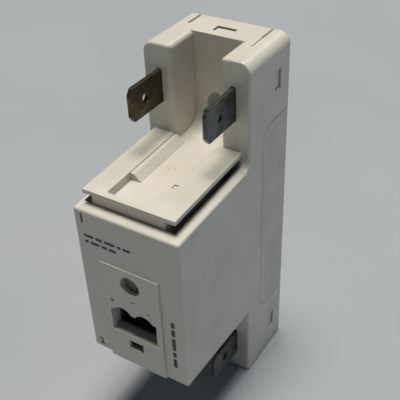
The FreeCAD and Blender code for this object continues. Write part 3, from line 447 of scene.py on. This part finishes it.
def film(name, outlines, face):
    """Thin closed prisms of ink on the plane y = face, from outlines in millimetres across and up."""
    mesh = bmesh.new()
    for outline in outlines:
        back = [mesh.verts.new((x * MM, face + INK_THICK, z * MM)) for x, z in outline]
        front = [mesh.verts.new((x * MM, face - INK_THICK, z * MM)) for x, z in outline]
        mesh.faces.new(front)
        mesh.faces.new(list(reversed(back)))
        for step in range(len(outline)):
            after = (step + 1) % len(outline)
            mesh.faces.new([front[step], back[step], back[after], front[after]])
    bmesh.ops.recalc_face_normals(mesh, faces=mesh.faces)
    data = bpy.data.meshes.new(name)
    mesh.to_mesh(data)
    mesh.free()
    piece = bpy.data.objects.new(name, data)
    bpy.context.scene.collection.objects.link(piece)
    data.materials.append(INK)
    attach(piece, "root")
    return piece


def bar(left, low, right, high):
    """A bar with rounded corners, as an outline."""
    radius = min(right - left, high - low) * BAR_ROUNDING
    corners = ((right, low, -90), (right, high, 0), (left, high, 90), (left, low, 180))
    points = []
    for x, z, start in corners:
        centre_x = x - math.copysign(radius, x - (left + right) / 2)
        centre_z = z - math.copysign(radius, z - (low + high) / 2)
        for turn in (0, 30, 60, 90):
            angle = math.radians(start + turn)
            points.append((centre_x + radius * math.cos(angle), centre_z + radius * math.sin(angle)))
    return points


def line_of_bars(left, low, height, lengths, gap):
    """Bars in a row, like words in a line of small print."""
    bars = []
    for length in lengths:
        bars.append(bar(left, low, left + length, low + height))
        left += length + gap
    return bars


def turned(outline):
    """The outline turned a quarter, so that a row of bars runs upwards."""
    return [(-z, x) for x, z in outline]


def number(name, text, left, low, height):
    """A printed terminal number, welded where its outline meets itself."""
    curve = bpy.data.curves.new(name, "FONT")
    curve.body = text
    curve.size = height * MM / FIGURE_SHARE
    curve.extrude = INK_THICK
    curve.offset = FIGURE_BOLDNESS * MM
    curve.resolution_u = FIGURE_STEPS
    lettering = bpy.data.objects.new(name, curve)
    bpy.context.scene.collection.objects.link(lettering)
    bpy.context.view_layer.update()
    final = lettering.evaluated_get(bpy.context.evaluated_depsgraph_get())
    data = bpy.data.meshes.new_from_object(final)
    bpy.data.objects.remove(lettering)
    upright = Matrix.Rotation(math.pi / 2, 4, "X")
    data.transform(Matrix.Translation((left * MM, FACE, low * MM)) @ upright)
    mesh = bmesh.new()
    mesh.from_mesh(data)
    bmesh.ops.remove_doubles(mesh, verts=mesh.verts, dist=WELD_REACH)
    mesh.to_mesh(data)
    mesh.free()
    data.materials.clear()
    data.materials.append(INK)
    piece = bpy.data.objects.new(name, data)
    bpy.context.scene.collection.objects.link(piece)
    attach(piece, "root")
    return piece


def dash(place):
    """One level stroke of a sign, as an outline round `place`."""
    across, height = place
    return [(across - STROKE_HALF, height - STROKE_LINE), (across + STROKE_HALF, height - STROKE_LINE),
            (across + STROKE_HALF, height + STROKE_LINE), (across - STROKE_HALF, height + STROKE_LINE)]


def cross(place):
    """A plus sign, as one outline round `place`."""
    across, height = place
    half, line = STROKE_HALF, STROKE_LINE
    corners = (
        (line, half), (-line, half), (-line, line), (-half, line), (-half, -line), (-line, -line),
        (-line, -half), (line, -half), (line, -line), (half, -line), (half, line), (line, line),
    )
    return [(across + x, height + z) for x, z in corners]


def ink_signs():
    """Ink in the sunk polarity signs over the socket and in the dash under the lamp."""
    film("minus_sign", [dash(MINUS_PLACE)], SIGN_FLOOR)
    film("lamp_dash", [dash(DASH_PLACE)], SIGN_FLOOR)
    film("plus_sign", [cross(PLUS_PLACE)], SIGN_FLOOR)


def print_front():
    """Terminal numbers and rows of bars on the front face."""
    for figure in FIGURES:
        number(*figure)
    rating = []
    for row in RATING_ROWS:
        rating += line_of_bars(*row)
    film("rating_bars", rating, FACE)
    film("side_bars", [turned(outline) for outline in line_of_bars(*SIDE_ROW)], FACE)
    film("foot_bars", line_of_bars(*FOOT_ROW), FACE)


# ---------------------------------------------------------------------------------------------------------
# Floor, light and camera
# ---------------------------------------------------------------------------------------------------------

FLOOR_HALF = 20.0
FLOOR_SQUARES = 4

# Soft lights: name, direction towards the light, strength, spread in degrees and tint.
LIGHTS = (
    ("key_light", (-0.04, 0.03, 1.0), 3.2, 22, (1.0, 0.955, 0.875)),
    ("cool_fill", (1.0, 0.2, 0.35), 0.13, 80, (0.12, 0.55, 1.0)),
    ("rim_light", (0.0, 0.68, 0.72), 0.5, 10, (1.0, 0.99, 0.97)),
)
SKY_STRENGTH = 0.05


def make_floor():
    """A plain pale floor under the object."""
    mesh = bmesh.new()
    bmesh.ops.create_grid(mesh, x_segments=FLOOR_SQUARES, y_segments=FLOOR_SQUARES, size=FLOOR_HALF)
    data = bpy.data.meshes.new("floor")
    mesh.to_mesh(data)
    mesh.free()
    floor = bpy.data.objects.new("floor", data)
    floor.location.z = cad_low.z
    bpy.context.scene.collection.objects.link(floor)
    r = Recipe("studio_floor")
    tone = r.blend(r.span(r.noise(60.0, 3), 0.3, 0.7), FLOOR_DARK, FLOOR_LIGHT)
    r.finish(Base_Color=tone, Roughness=0.75, Normal=r.bump(r.noise(0.6, 3), 0.01))
    data.materials.append(r.material)


def soft_sun(name, toward, strength, spread, tint):
    """An even, soft light that comes from the direction `toward`, seen from the object."""
    lamp = bpy.data.lights.new(name, "SUN")
    lamp.energy = strength
    lamp.angle = math.radians(spread)
    lamp.color = tint
    sun = bpy.data.objects.new(name, lamp)
    sun.rotation_mode = "QUATERNION"
    sun.rotation_quaternion = Vector(toward).to_track_quat("Z", "Y")
    bpy.context.scene.collection.objects.link(sun)


def light_studio():
    """Faint sky light and the three soft lights."""
    world = bpy.data.worlds.new("studio")
    world.use_nodes = True
    sky = world.node_tree.nodes["Background"]
    sky.inputs["Color"].default_value = SKY
    sky.inputs["Strength"].default_value = SKY_STRENGTH
    bpy.context.scene.world = world
    for light in LIGHTS:
        soft_sun(*light)
    bpy.context.scene.view_settings.view_transform = "Standard"


# The camera's place, counted round a point a little above and behind the middle of the object.
AZIMUTH = math.radians(33.35)
ELEVATION = math.radians(36.19)
ROLL = math.radians(-2.48)
DISTANCE = 136.9 * MM
AIM_OFFSET = Vector((-0.3, 4.7, 5.7)) * MM
LENS = 64.56
NEAREST = 10 * MM


def place_camera():
    """The scene's camera, turned a little about its own line of sight."""
    back = Vector((math.sin(AZIMUTH) * math.cos(ELEVATION),
                   -math.cos(AZIMUTH) * math.cos(ELEVATION),
                   math.sin(ELEVATION)))
    level = Vector((math.cos(AZIMUTH), math.sin(AZIMUTH), 0))
    up = back.cross(level)
    right = level * math.cos(ROLL) + up * math.sin(ROLL)
    top = back.cross(right)
    data = bpy.data.cameras.new("camera")
    data.lens = LENS
    data.clip_start = NEAREST
    camera = bpy.data.objects.new("camera", data)
    turn = Matrix((right, top, back)).transposed().to_4x4()
    aim = (cad_low + cad_high) / 2 + AIM_OFFSET
    camera.matrix_world = Matrix.Translation(aim + back * DISTANCE) @ turn
    bpy.context.scene.collection.objects.link(camera)
    bpy.context.scene.camera = camera


dress_cad_nodes()
print_front()
ink_signs()
make_floor()
light_studio()
place_camera()
